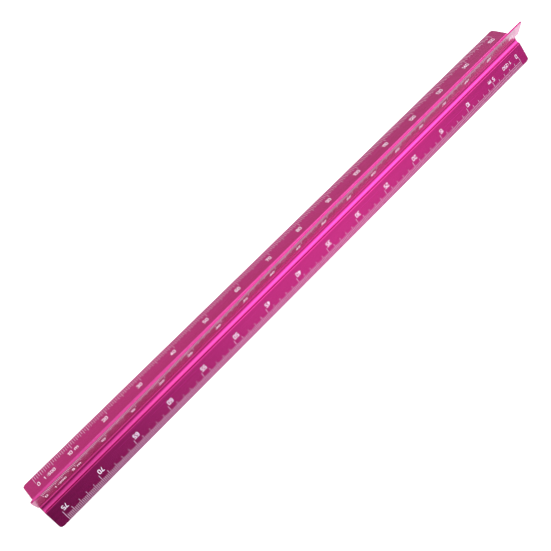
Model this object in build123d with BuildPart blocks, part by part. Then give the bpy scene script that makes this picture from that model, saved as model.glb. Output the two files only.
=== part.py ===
from build123d import *
from math import cos, radians, sin
import os

# Triangular scale ruler, 300 mm: a three-winged aluminium extrusion with six printed scales.
# The ruler lies along X on its two lower wings, the third wing standing up. Z = 0 is the surface it lies
# on, and the origin is below the middle of the ruler. Sizes are in millimetres.

# --- Extrusion -------------------------------------------------------------------------------------
ruler_length = 310.0
edge_span = 24.0  # straight across, from one wing's outer edge to the next wing's
edge_thickness = 0.8  # a wing's thickness at its outer edge
shoulder_thickness = 3.0  # a wing's thickness at the shoulder, where the groove begins
shoulder_distance = 3.9  # from the ruler's axis to a shoulder, along the wing
groove_radius = 2.7  # round groove between two wings
groove_distance = 3.8  # from the ruler's axis to a groove's centre
edge_rounding = 0.25  # on both corners of a wing's outer edge
shoulder_rounding = 0.4
corner_radius = 1.5  # at each end of a wing's outer edge

wing_length = edge_span / (2 * cos(radians(30)))  # from the ruler's axis to a wing's outer edge
half_edge = edge_thickness / 2
half_shoulder = shoulder_thickness / 2
taper = (half_shoulder - half_edge) / (wing_length - shoulder_distance)
face_slant = (1 + taper**2) ** 0.5  # length of a scale face per millimetre along the wing
half_root = half_shoulder + taper * shoulder_distance  # the wing's faces carried in to the axis

# The lowest point is on the rounded lower corner of a lower wing's edge, which points 30 degrees down.
axis_height = (
    (wing_length - edge_rounding) * sin(radians(30))
    + (half_edge + edge_rounding * (taper - face_slant)) * cos(radians(30))
    + edge_rounding
)

# --- Wings, as directions in the YZ plane, counted from +Y towards +Z -------------------------------
UP_WING = 90
FRONT_WING = 210  # towards -Y
BACK_WING = 330  # towards +Y
WINGS = [UP_WING, FRONT_WING, BACK_WING]
LEFT_SIDE, RIGHT_SIDE = 1, -1  # a wing's two sides, turning from +Y towards +Z first

# --- Printed marking --------------------------------------------------------------------------------
scale_length = 300.0  # centred on the ruler, so equally blank at both ends
ink_thickness = 0.03
line_width = 0.18
line_start = edge_rounding  # from the wing's edge to the outer end of every line
pen = 0.22  # stroke width of the figures
figure_foot = 7.2  # from the wing's edge to the foot of a figure
figure_height = 2.05
figure_width = 1.2
narrow_width = 0.55  # figure 1 and the colon
metre_width = 1.9  # the letter m
figure_gap = 0.3  # between two characters
figure_to_line = 0.8  # from the end of a figure to its line, along the scale
zero_to_line = 0.25  # from the zero line to the 0 after it
metre_to_line = 0.5  # from the first figure's line to the m after it
legend_size = 0.85  # the ratio's characters, against the figures
legend_colon = 1.5  # from the start of a ratio's 1 to the start of its colon

# How far in from the wing's edge a line runs.
short_line, middle_line, long_line, figure_line, tall_line = 2.9, 3.5, 4.1, 4.6, 5.2

# A scale's longer lines: every so many divisions, and how far in they run. Figures stand at the first.
BY_TWENTY = [(20, figure_line), (10, long_line), (2, middle_line)]
BY_TWENTY_FIVE = [(25, tall_line), (5, long_line)]
BY_TEN = [(10, tall_line), (5, long_line)]

# Each scale: its ratio 1:N, wing, side, the metres of one division, the distance from the zero line to
# the printed ratio, and its longer lines.
SCALES = [
    (500, BACK_WING, LEFT_SIDE, 0.5, 3.9, BY_TWENTY),
    (250, FRONT_WING, RIGHT_SIDE, 0.2, 5.4, BY_TWENTY_FIVE),
    (300, UP_WING, LEFT_SIDE, 0.2, 5.4, BY_TWENTY_FIVE),
    (400, UP_WING, RIGHT_SIDE, 0.5, 3.9, BY_TWENTY),
    (200, BACK_WING, RIGHT_SIDE, 0.2, 5.4, BY_TWENTY_FIVE),
    (100, FRONT_WING, LEFT_SIDE, 0.1, 2.2, BY_TEN),
]


def save(piece, name):
    """Label a finished piece and write it as parts/NAME.step, without parameter curves to keep it small."""
    piece.part.label = name
    export_step(piece.part, f"parts/{name}.step", write_pcurves=False)


def wing_frame(wing):
    """Unit vectors along a wing, from the axis to its edge, and across it towards its left side."""
    along = Vector(0, cos(radians(wing)), sin(radians(wing)))
    across = Vector(0, -sin(radians(wing)), cos(radians(wing)))
    return along, across


def wing_plane(wing):
    """The middle plane of a wing: local x runs along the ruler, local y from its axis to the edge."""
    along, across = wing_frame(wing)
    return Plane(origin=(0, 0, axis_height), x_dir=along.cross(across), z_dir=across)


def scale_plane(wing, side):
    """A scale face as it is read: its origin is where the zero line meets the wing's edge, local x runs
    along the scale and local y points out past the edge."""
    along, across = wing_frame(wing)
    reading_up = along - across * (taper * side)
    outward = across * side + along * taper
    reading_right = reading_up.cross(outward).normalized()
    edge = Vector(0, 0, axis_height) + along * wing_length + across * (half_edge * side)
    return Plane(origin=edge - reading_right * (scale_length / 2), x_dir=reading_right, z_dir=outward)


# --- Figures ----------------------------------------------------------------------------------------
right, top = figure_width - pen, figure_height - pen  # the far corner of a figure's centre lines
middle, hook = 0.52 * top, 0.24 * top
centre, stem, notch = 0.5 * right, 0.72 * right, 0.3 * right
narrow, metre, metre_top = narrow_width - pen, metre_width - pen, 0.62 * top
wide_turn, tight_turn, sharp = 0.41, 0.28, 0  # radii of the turns in a centre line

# The centre lines of each character, as strokes: corner points, the radii of the turns, open or closed.
STROKES = {
    "0": [([(0, 0), (right, 0), (right, top), (0, top)], [wide_turn] * 4, True)],
    "1": [([(0, top - narrow), (narrow, top), (narrow, 0)], [sharp], False)],
    "2": [
        (
            [(0, top - hook), (0, top), (right, top), (right, middle), (0, 0), (right, 0)],
            [tight_turn, wide_turn, tight_turn, sharp],
            False,
        )
    ],
    "3": [
        ([(0, top), (right, top), (right, middle), (notch, middle)], [wide_turn, wide_turn], False),
        ([(notch, middle), (right, middle), (right, 0), (0, 0)], [wide_turn, wide_turn], False),
    ],
    "4": [
        ([(stem, 0), (stem, top)], [], False),
        ([(stem, top), (0, hook), (right, hook)], [sharp], False),
    ],
    "5": [
        (
            [(right, top), (0, top), (0, middle), (right, middle), (right, 0), (0, 0)],
            [sharp, sharp, wide_turn, wide_turn],
            False,
        )
    ],
    "6": [
        ([(right, top), (0, top), (0, 0), (centre, 0)], [wide_turn, wide_turn], False),
        ([(centre, 0), (right, 0), (right, middle), (0, middle)], [wide_turn, wide_turn], False),
    ],
    "7": [([(0, top), (right, top), (notch, 0)], [sharp], False)],
    "8": [
        ([(0, 0), (right, 0), (right, middle), (0, middle)], [wide_turn] * 4, True),
        ([(0, middle), (right, middle), (right, top), (0, top)], [wide_turn] * 4, True),
    ],
    "9": [
        ([(0, 0), (right, 0), (right, top), (centre, top)], [wide_turn, wide_turn], False),
        (
            [(centre, top), (0, top), (0, top - middle), (right, top - middle)],
            [wide_turn, wide_turn],
            False,
        ),
    ],
    "m": [
        ([(0, 0), (0, metre_top), (metre / 2, metre_top), (metre / 2, 0)], [sharp, tight_turn], False),
        (
            [(metre / 2, metre_top / 2), (metre / 2, metre_top), (metre, metre_top), (metre, 0)],
            [sharp, tight_turn],
            False,
        ),
    ],
    ":": [
        ([(narrow / 2, hook - pen / 2), (narrow / 2, hook + pen / 2)], [], False),
        ([(narrow / 2, middle + hook - pen / 2), (narrow / 2, middle + hook + pen / 2)], [], False),
    ],
}
WIDTHS = {"1": narrow_width, ":": narrow_width, "m": metre_width}


def draw_character(character, size):
    """One character, its lower left corner at the origin: each stroke is its centre line widened by half
    the pen to both sides, and a closed stroke also loses the inside of its ring."""
    half_pen = size * pen / 2
    with BuildSketch() as drawn:
        for points, turns, closed in STROKES[character]:
            corners = [(size * x + half_pen, size * y + half_pen) for x, y in points]
            for widening, mode in [(half_pen, Mode.ADD), (-half_pen, Mode.SUBTRACT)][: 1 + closed]:
                with BuildLine():
                    if turns:
                        FilletPolyline(*corners, radius=[size * turn for turn in turns], close=closed)
                    else:
                        Line(*corners)
                    offset(amount=widening)
                make_face(mode=mode)
    return drawn.sketch


CHARACTERS = {
    (character, size): draw_character(character, size) for character in STROKES for size in (1, legend_size)
}


def character_width(character):
    return WIDTHS.get(character, figure_width)


def text_width(text):
    return sum(character_width(character) for character in text) + figure_gap * (len(text) - 1)


def add_text(text, start, size=1):
    """Add a text to the open sketch, with its left end at start along the scale."""
    for character in text:
        with Locations((start, -figure_foot)):
            add(CHARACTERS[character, size])
        start += size * (character_width(character) + figure_gap)


def line_end(division, longer_lines):
    """How far in from the wing's edge the line at a division runs."""
    for every, end in longer_lines:
        if division % every == 0:
            return end
    return short_line


os.makedirs("parts", exist_ok=True)

# --- Ruler body: the section drawn out along X, then its ends finished ------------------------------
straight_length = ruler_length - 2 * corner_radius  # of a wing's outer edge, between its rounded corners
straight_width = wing_length - corner_radius  # of a wing's end, from the axis to the rounded corner
section_plane = Plane(origin=(-ruler_length / 2, 0, axis_height), x_dir=(0, 1, 0), z_dir=(1, 0, 0))

with BuildPart() as ruler_body:
    with BuildSketch(section_plane) as section:
        with PolarLocations(0, len(WINGS), start_angle=UP_WING):
            Polygon(
                (0, half_root),
                (0, -half_root),
                (wing_length, -half_edge),
                (wing_length, half_edge),
                align=None,
            )
        with PolarLocations(groove_distance, len(WINGS), start_angle=UP_WING + 60):
            Circle(groove_radius, mode=Mode.SUBTRACT)
        fillet(section.vertices().sort_by_distance((0, 0, 0))[:6], shoulder_rounding)
        fillet(section.vertices().sort_by_distance((0, 0, 0))[-6:], edge_rounding)
    extrude(amount=ruler_length)
    for wing in WINGS:
        with BuildSketch(wing_plane(wing)):
            with Locations((-ruler_length / 2, wing_length), (ruler_length / 2, wing_length)):
                Rectangle(2 * corner_radius, 2 * corner_radius)
            with Locations((-straight_length / 2, straight_width), (straight_length / 2, straight_width)):
                Circle(corner_radius, mode=Mode.SUBTRACT)
            Rectangle(straight_length, 2 * edge_span, mode=Mode.SUBTRACT)
            Rectangle(2 * ruler_length, 2 * straight_width, mode=Mode.SUBTRACT)
        extrude(amount=shoulder_thickness, both=True, mode=Mode.SUBTRACT)

save(ruler_body, "ruler_body")

# --- Printed marking: lines, figures and ratio legend of each scale ----------------------------------
for ratio, wing, side, division_metres, legend_start, longer_lines in SCALES:
    face = scale_plane(wing, side)
    spacing = 1000 * division_metres / ratio
    count = round(scale_length / spacing)
    figure_every = longer_lines[0][0]

    with BuildPart() as graduations:
        with BuildSketch(face):
            for end in [short_line] + [end for every, end in longer_lines]:
                with Locations(
                    *[
                        (division * spacing, -(line_start + end) / 2)
                        for division in range(count + 1)
                        if line_end(division, longer_lines) == end
                    ]
                ):
                    Rectangle(line_width, end - line_start)
        extrude(amount=ink_thickness)
    save(graduations, f"graduations_1_{ratio}")

    with BuildPart() as figures:
        with BuildSketch(face):
            add_text("0", zero_to_line)
            for division in range(figure_every, count + 1, figure_every):
                text = f"{division * division_metres:.0f}"
                add_text(text, division * spacing - figure_to_line - text_width(text))
            add_text("m", figure_every * spacing + metre_to_line)
        extrude(amount=ink_thickness)
    save(figures, f"figures_1_{ratio}")

    with BuildPart() as legend:
        with BuildSketch(face):
            add_text("1", legend_start, legend_size)
            add_text(f":{ratio}", legend_start + legend_colon, legend_size)
        extrude(amount=ink_thickness)
    save(legend, f"ratio_1_{ratio}")
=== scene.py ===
from math import asin, atan2, cos, hypot, pi, radians, sin, sqrt

import bmesh
import bpy
from mathutils import Matrix, Vector


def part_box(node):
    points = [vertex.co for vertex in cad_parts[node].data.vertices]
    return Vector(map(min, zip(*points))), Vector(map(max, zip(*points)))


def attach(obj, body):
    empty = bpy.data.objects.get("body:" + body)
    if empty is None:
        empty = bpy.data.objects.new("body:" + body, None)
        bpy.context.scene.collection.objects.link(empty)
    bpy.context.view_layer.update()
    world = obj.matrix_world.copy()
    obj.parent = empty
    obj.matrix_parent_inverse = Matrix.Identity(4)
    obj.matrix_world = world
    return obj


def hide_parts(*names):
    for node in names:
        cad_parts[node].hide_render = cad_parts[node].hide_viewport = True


# Triangular scale ruler: a fine mesh of the extrusion, the finishes, the camera and the studio.
# Sizes of the ruler are in millimetres here, and MM turns them into the frame's metres.

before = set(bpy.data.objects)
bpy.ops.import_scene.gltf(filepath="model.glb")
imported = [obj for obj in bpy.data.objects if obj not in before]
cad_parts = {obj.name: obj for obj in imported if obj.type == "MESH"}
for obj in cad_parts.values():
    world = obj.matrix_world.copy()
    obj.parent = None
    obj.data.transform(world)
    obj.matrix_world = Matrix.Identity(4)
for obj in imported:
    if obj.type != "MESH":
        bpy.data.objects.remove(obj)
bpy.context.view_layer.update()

MM = 0.001

# --- Camera: high above the ruler's left half, looking steeply down ----------------------------------
CAMERA_PLACE = Vector((-114.3, -82.5, 380.3)) * MM
CAMERA_AIM = Vector((-16.4, -1.1, 7.2)) * MM
CAMERA_UP = Vector((0.6810, 0.6578, 0.3219))
LENS_MM, SENSOR_MM = 57.98, 36.0
CLIP_START = 0.01


def camera_matrix(place, aim, up):
    """A camera at place that looks at aim, with up pointing up in the picture."""
    back = (place - aim).normalized()
    right = up.cross(back).normalized()
    rotation = Matrix((right, back.cross(right), back)).transposed()
    return Matrix.Translation(place) @ rotation.to_4x4()


def make_camera():
    """The scene's camera, with no shift and no depth of field."""
    data = bpy.data.cameras.new("camera")
    data.lens = LENS_MM
    data.sensor_width = SENSOR_MM
    data.clip_start = CLIP_START
    camera = bpy.data.objects.new("camera", data)
    bpy.context.scene.collection.objects.link(camera)
    camera.matrix_world = camera_matrix(CAMERA_PLACE, CAMERA_AIM, CAMERA_UP)
    bpy.context.scene.camera = camera


# --- Extrusion ---------------------------------------------------------------------------------------
BODY_LOW, BODY_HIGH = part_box("ruler_body")
HALF_LENGTH = (BODY_HIGH.x - BODY_LOW.x) / 2 / MM
EDGE_SPAN = 24.0  # straight across, from one wing's outer edge to the next wing's
WING_LENGTH = EDGE_SPAN / sqrt(3)  # from the ruler's axis to a wing's outer edge
HALF_EDGE, HALF_SHOULDER = 0.4, 1.5  # half a wing's thickness at its edge and at its shoulder
SHOULDER_DISTANCE = 3.9  # from the ruler's axis to a shoulder, along the wing
GROOVE_RADIUS, GROOVE_DISTANCE = 2.7, 3.8  # the distance is from the ruler's axis to a groove's centre
EDGE_ROUNDING, SHOULDER_ROUNDING = 0.25, 0.4
CORNER_RADIUS = 1.5  # at each end of a wing's outer edge
END_ROUNDING = 0.12  # the cut ends' burr is taken off
AXIS_HEIGHT = BODY_HIGH.z / MM - WING_LENGTH
WINGS = [90, 210, 330]  # degrees in the YZ plane, from +Y towards +Z
MIDWAY = radians(60)  # from a wing to the middle of the groove after it

TAPER = (HALF_SHOULDER - HALF_EDGE) / (WING_LENGTH - SHOULDER_DISTANCE)
FACE_SLANT = hypot(1, TAPER)
FACE_TURN = atan2(1, TAPER)  # direction that a wing's face looks in, from the wing's own direction
GROOVE_ALONG, GROOVE_ACROSS = GROOVE_DISTANCE * cos(MIDWAY), GROOVE_DISTANCE * sin(MIDWAY)

# How many straight steps stand for each arc: in the section, and along X at the ends.
EDGE_STEPS, SHOULDER_STEPS, GROOVE_STEPS = 8, 6, 56
CORNER_STEPS, END_STEPS = 14, 5


def half_thickness(distance):
    """Half a wing's thickness at a distance from the ruler's axis."""
    return HALF_SHOULDER + TAPER * (SHOULDER_DISTANCE - distance)


def shoulder_centre():
    """Centre of the rounding that touches a wing's face and runs out into the groove."""
    depth = half_thickness(0) - SHOULDER_ROUNDING * FACE_SLANT - GROOVE_ACROSS
    reach = GROOVE_RADIUS + SHOULDER_ROUNDING
    a = FACE_SLANT**2
    b = GROOVE_ALONG + TAPER * depth
    c = GROOVE_ALONG**2 + depth**2 - reach**2
    along = (b + sqrt(b**2 - a * c)) / a
    return along, depth - TAPER * along + GROOVE_ACROSS


def arc(centre, radius, start, end, steps, hollow=False):
    """Points on an arc, each with the outward direction of the surface there."""
    side = -1 if hollow else 1
    points = []
    for step in range(steps + 1):
        turn = start + (end - start) * step / steps
        out = Vector((cos(turn), sin(turn)))
        points.append((Vector(centre) + radius * out, side * out))
    return points


def wing_outline(length):
    """Half of a wing's outline and the groove after it, as (along, across) points with their outward
    directions: its edge, cut back to the given length, its face, its shoulder and the groove."""
    tip = length - EDGE_ROUNDING
    tip_across = half_thickness(length) + EDGE_ROUNDING * (TAPER - FACE_SLANT)
    shoulder = shoulder_centre()
    shoulder_turn = atan2(GROOVE_ACROSS - shoulder[1], GROOVE_ALONG - shoulder[0])
    groove_start = shoulder_turn - pi
    groove_end = 2 * (MIDWAY - pi) - groove_start  # its mirror image, reached the short way round
    edge = arc((tip, tip_across), EDGE_ROUNDING, 0, FACE_TURN, EDGE_STEPS)
    rounding = arc(shoulder, SHOULDER_ROUNDING, FACE_TURN, shoulder_turn, SHOULDER_STEPS)
    groove_centre = (GROOVE_ALONG, GROOVE_ACROSS)
    groove = arc(groove_centre, GROOVE_RADIUS, groove_start, groove_end, GROOVE_STEPS, hollow=True)
    mirrored = [(Vector((p.x, -p.y)), Vector((n.x, -n.y))) for p, n in reversed(edge + rounding)]
    return mirrored + edge + rounding + groove[1:-1]


def section(x, wing_length, inset):
    """The closed outline at x, in metres, with its surface set back by inset."""
    ring = []
    for wing in WINGS:
        along = Vector((cos(radians(wing)), sin(radians(wing))))
        across = Vector((-along.y, along.x))
        for point, outward in wing_outline(wing_length):
            point = point - inset * outward
            place = along * point.x + across * point.y
            ring.append(Vector((x, place.x, place.y + AXIS_HEIGHT)) * MM)
    return ring


def end_sections():
    """Outlines from the start of the rounded corners to the +X end, as (x, wing length, inset)."""
    corner_start = HALF_LENGTH - CORNER_RADIUS
    rounding_start = HALF_LENGTH - END_ROUNDING
    last_turn = asin((rounding_start - corner_start) / CORNER_RADIUS)
    places = [corner_start + CORNER_RADIUS * sin(last_turn * i / CORNER_STEPS) for i in range(CORNER_STEPS)]
    places += [rounding_start + END_ROUNDING * sin(pi / 2 * i / END_STEPS) for i in range(END_STEPS + 1)]
    sections = []
    for x in places:
        cut_back = CORNER_RADIUS - sqrt(max(0, CORNER_RADIUS**2 - (x - corner_start) ** 2))
        past = max(0, x - rounding_start)
        inset = END_ROUNDING - sqrt(max(0, END_ROUNDING**2 - past**2))
        sections.append((x, WING_LENGTH - cut_back, inset))
    return sections


def make_extrusion():
    """The whole body as one closed mesh: outlines joined along X, and both ends closed."""
    half = end_sections()
    outlines = [(-x, length, inset) for x, length, inset in reversed(half)] + half
    mesh = bmesh.new()
    rings = [[mesh.verts.new(place) for place in section(*outline)] for outline in outlines]
    for ring, after in zip(rings, rings[1:]):
        for i in range(len(ring)):
            mesh.faces.new((ring[i - 1], ring[i], after[i], after[i - 1]))
    mesh.faces.new(reversed(rings[0]))
    mesh.faces.new(rings[-1])
    bmesh.ops.recalc_face_normals(mesh, faces=mesh.faces)
    data = bpy.data.meshes.new("ruler_extrusion")
    mesh.to_mesh(data)
    mesh.free()
    data.shade_smooth()
    body = bpy.data.objects.new("ruler_extrusion", data)
    bpy.context.scene.collection.objects.link(body)
    weigh = body.modifiers.new("flat_faces_stay_flat", "WEIGHTED_NORMAL")
    weigh.weight = 100  # the highest: the large faces alone set the shading
    weigh.keep_sharp = True
    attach(body, "root")
    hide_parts("ruler_body")
    return body


# --- Finishes ----------------------------------------------------------------------------------------
MAGENTA = (0.385, 0.0075, 0.122, 1.0)
MAGENTA_DEEP = (0.360, 0.0055, 0.113, 1.0)  # in the faint clouds of the dye
FIGURE_INK, FIGURE_WORN = (0.86, 0.70, 0.79, 1.0), (0.76, 0.52, 0.65, 1.0)
LINE_INK, LINE_WORN = (0.53, 0.31, 0.41, 1.0), (0.44, 0.21, 0.32, 1.0)  # fine lines print thinner
FLOOR_WHITE = (0.90, 0.895, 0.895, 1.0)
FLOOR_SHADE = (0.87, 0.865, 0.868, 1.0)
WARM_WHITE = (1.0, 0.995, 0.995, 1.0)
FLOOR_GLOW = 0.30  # keeps the paper white in the picture
NO_STRETCH = (1.0, 1.0, 1.0)


def node_material(name, **shading):
    """A new material with the given values on its shader, and a helper that adds a node and sets its
    inputs by name."""
    material = bpy.data.materials.new(name)
    material.use_nodes = True
    tree = material.node_tree
    tree.nodes.clear()

    def add(kind, **inputs):
        node = tree.nodes.new(kind)
        for key, value in inputs.items():
            node.inputs[key.replace("_", " ")].default_value = value
        return node

    output = add("ShaderNodeOutputMaterial")
    surface = add("ShaderNodeBsdfPrincipled", **shading)
    tree.links.new(surface.outputs["BSDF"], output.inputs["Surface"])
    return material, tree, surface, add


def noise(tree, add, scale, stretch=NO_STRETCH, detail=4.0):
    """Noise in the frame's metres, drawn out by dividing each axis by its stretch."""
    place = add("ShaderNodeTexCoord")
    mapping = add("ShaderNodeMapping")
    mapping.inputs["Scale"].default_value = [1 / s for s in stretch]
    texture = add("ShaderNodeTexNoise", Scale=scale, Detail=detail, Roughness=0.6)
    tree.links.new(place.outputs["Object"], mapping.inputs["Vector"])
    tree.links.new(mapping.outputs["Vector"], texture.inputs["Vector"])
    return texture.outputs["Fac"]


def ramp(tree, add, source, low, high, start=0.35, end=0.65):
    """Turns a 0..1 value into a colour from low to high."""
    node = add("ShaderNodeValToRGB")
    node.color_ramp.elements[0].position, node.color_ramp.elements[0].color = start, low
    node.color_ramp.elements[1].position, node.color_ramp.elements[1].color = end, high
    tree.links.new(source, node.inputs["Fac"])
    return node.outputs["Color"]


def spread(tree, add, source, low, high):
    """Maps 0.3..0.7 of a noise to low..high."""
    node = add("ShaderNodeMapRange", From_Min=0.3, From_Max=0.7, To_Min=low, To_Max=high)
    tree.links.new(source, node.inputs["Value"])
    return node.outputs["Result"]


def bump(tree, add, surface, height, strength, distance):
    """Lets a height texture tilt the surface's shading."""
    node = add("ShaderNodeBump", Strength=strength, Distance=distance)
    tree.links.new(height, node.inputs["Height"])
    tree.links.new(node.outputs["Normal"], surface.inputs["Normal"])


def anodised_aluminium():
    """Dyed oxide over extruded metal: tinted metal with fine die lines along X under a thin clear gloss."""
    material, tree, surface, add = node_material(
        "anodised_aluminium", Metallic=1.0, Coat_Weight=0.36, Coat_Roughness=0.12, Coat_IOR=1.5
    )
    die_lines = noise(tree, add, scale=2600.0, stretch=(300.0, 1.0, 1.0), detail=3.0)
    clouds = noise(tree, add, scale=60.0, stretch=(6.0, 1.0, 1.0))
    tint = ramp(tree, add, clouds, MAGENTA_DEEP, MAGENTA)
    tree.links.new(tint, surface.inputs["Base Color"])
    roughness = spread(tree, add, die_lines, low=0.20, high=0.28)
    tree.links.new(roughness, surface.inputs["Roughness"])
    bump(tree, add, surface, die_lines, strength=0.10, distance=0.01 * MM)
    return material


def marking_ink(name, worn, full):
    """Pale print, a little thin in places so that the magenta shows through."""
    material, tree, surface, add = node_material(name, Specular_IOR_Level=0.4)
    speckle = noise(tree, add, scale=4200.0)
    colour = ramp(tree, add, speckle, worn, full, start=0.30, end=0.48)
    tree.links.new(colour, surface.inputs["Base Color"])
    roughness = spread(tree, add, speckle, low=0.60, high=0.45)
    tree.links.new(roughness, surface.inputs["Roughness"])
    bump(tree, add, surface, speckle, strength=0.15, distance=0.01 * MM)
    return material


def studio_paper():
    """Matt white paper, very faintly uneven."""
    material, tree, surface, add = node_material(
        "studio_floor",
        Roughness=0.8,
        Specular_IOR_Level=0.2,
        Emission_Color=WARM_WHITE,
        Emission_Strength=FLOOR_GLOW,
    )
    paper = noise(tree, add, scale=9.0)
    tree.links.new(ramp(tree, add, paper, FLOOR_SHADE, FLOOR_WHITE), surface.inputs["Base Color"])
    return material


def wear(piece, material):
    """Gives the whole of a piece one material."""
    piece.data.materials.clear()
    piece.data.materials.append(material)


# --- Studio ------------------------------------------------------------------------------------------
FLOOR_SIZE = 8.0
STUDIO_LIGHT = (1.0, 0.99, 0.99)

# Soft patches of the studio, as seen from the ruler. Around is an angle about X, from +Y over the top
# towards -Y, and tilt is an angle towards +X, both in degrees. Each patch: around and tilt of its middle,
# each with the angles within which it is full and past which it is gone, and its light. A negative light
# is a dark card.
SOFT_LIGHTS = [
    ((110, 24, 40), (22, 6, 28), (3.4, 3.6, 4.8)),  # long softbox overhead
    ((108, 5, 18), (18, 12, 34), (0.3, 3.6, 1.6)),  # its lamp, along the middle
    ((77, 6, 24), (-12, 8, 26), (1.4, 2.4, 2.2)),  # small light, overhead on the left
    ((152, 6, 30), (14, 4, 30), (0.3, 0.5, 0.5)),  # faint light, front
    ((150, 8, 26), (-22, 14, 40), (-0.93, -0.93, -0.93)),  # dark card, front left
    ((146, 4, 22), (44, 4, 22), (-0.67, -0.67, -0.63)),  # dark card, front right
    ((8, 10, 30), (40, 6, 26), (-0.20, -0.20, -0.18)),  # dark card, back right
]


def make_floor():
    """A large sheet of paper at Z = 0, which isn't part of the ruler."""
    half = FLOOR_SIZE / 2
    corners = [(-half, -half, 0), (half, -half, 0), (half, half, 0), (-half, half, 0)]
    mesh = bpy.data.meshes.new("studio_floor")
    mesh.from_pydata(corners, [], [(0, 1, 2, 3)])
    floor = bpy.data.objects.new("studio_floor", mesh)
    bpy.context.scene.collection.objects.link(floor)
    wear(floor, studio_paper())


def world_node(tree, kind, operation, *sources):
    """A maths node of the world, each input linked to a socket or set to a value."""
    node = tree.nodes.new(kind)
    node.operation = operation
    for socket, source in zip(node.inputs, sources):
        if isinstance(source, bpy.types.NodeSocket):
            tree.links.new(source, socket)
        else:
            socket.default_value = source
    return node


def fade(tree, angle, middle, full, gone):
    """1 where an angle in radians is within full degrees of the middle, 0 past gone degrees."""
    offset = world_node(tree, "ShaderNodeMath", "SUBTRACT", angle, radians(middle)).outputs[0]
    away = world_node(tree, "ShaderNodeMath", "ABSOLUTE", offset).outputs[0]
    node = tree.nodes.new("ShaderNodeMapRange")
    node.interpolation_type = "SMOOTHSTEP"
    node.inputs["From Min"].default_value = radians(gone)
    node.inputs["From Max"].default_value = radians(full)
    tree.links.new(away, node.inputs["Value"])
    return node.outputs["Result"]


def make_world():
    """A white studio with a softbox and dark cards, all a long way off."""
    world = bpy.data.worlds.new("studio")
    world.use_nodes = True
    tree = world.node_tree
    split = tree.nodes.new("ShaderNodeSeparateXYZ")
    tree.links.new(tree.nodes.new("ShaderNodeTexCoord").outputs["Generated"], split.inputs["Vector"])
    x, y, z = split.outputs
    around = world_node(tree, "ShaderNodeMath", "ARCTAN2", z, y).outputs[0]
    tilt = world_node(tree, "ShaderNodeMath", "ARCSINE", x).outputs[0]
    total = STUDIO_LIGHT
    for around_fade, tilt_fade, light in SOFT_LIGHTS:
        both = (fade(tree, around, *around_fade), fade(tree, tilt, *tilt_fade))
        amount = world_node(tree, "ShaderNodeMath", "MULTIPLY", *both).outputs[0]
        patch = world_node(tree, "ShaderNodeVectorMath", "SCALE", light)
        tree.links.new(amount, patch.inputs["Scale"])
        total = world_node(tree, "ShaderNodeVectorMath", "ADD", total, patch.outputs[0]).outputs[0]
    background = tree.nodes["Background"]
    background.inputs["Strength"].default_value = 1.0
    tree.links.new(total, background.inputs["Color"])
    bpy.context.scene.world = world


# --- Making ------------------------------------------------------------------------------------------
make_camera()
make_floor()
make_world()
bpy.context.scene.view_settings.view_transform = "Standard"

metal = anodised_aluminium()
figure_ink = marking_ink("figure_ink", FIGURE_WORN, FIGURE_INK)
line_ink = marking_ink("line_ink", LINE_WORN, LINE_INK)
# By the first word of a node's name.
finishes = {"ruler": metal, "graduations": line_ink, "figures": figure_ink, "ratio": figure_ink}
wear(make_extrusion(), metal)
for name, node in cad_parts.items():
    wear(node, finishes[name.split("_")[0]])
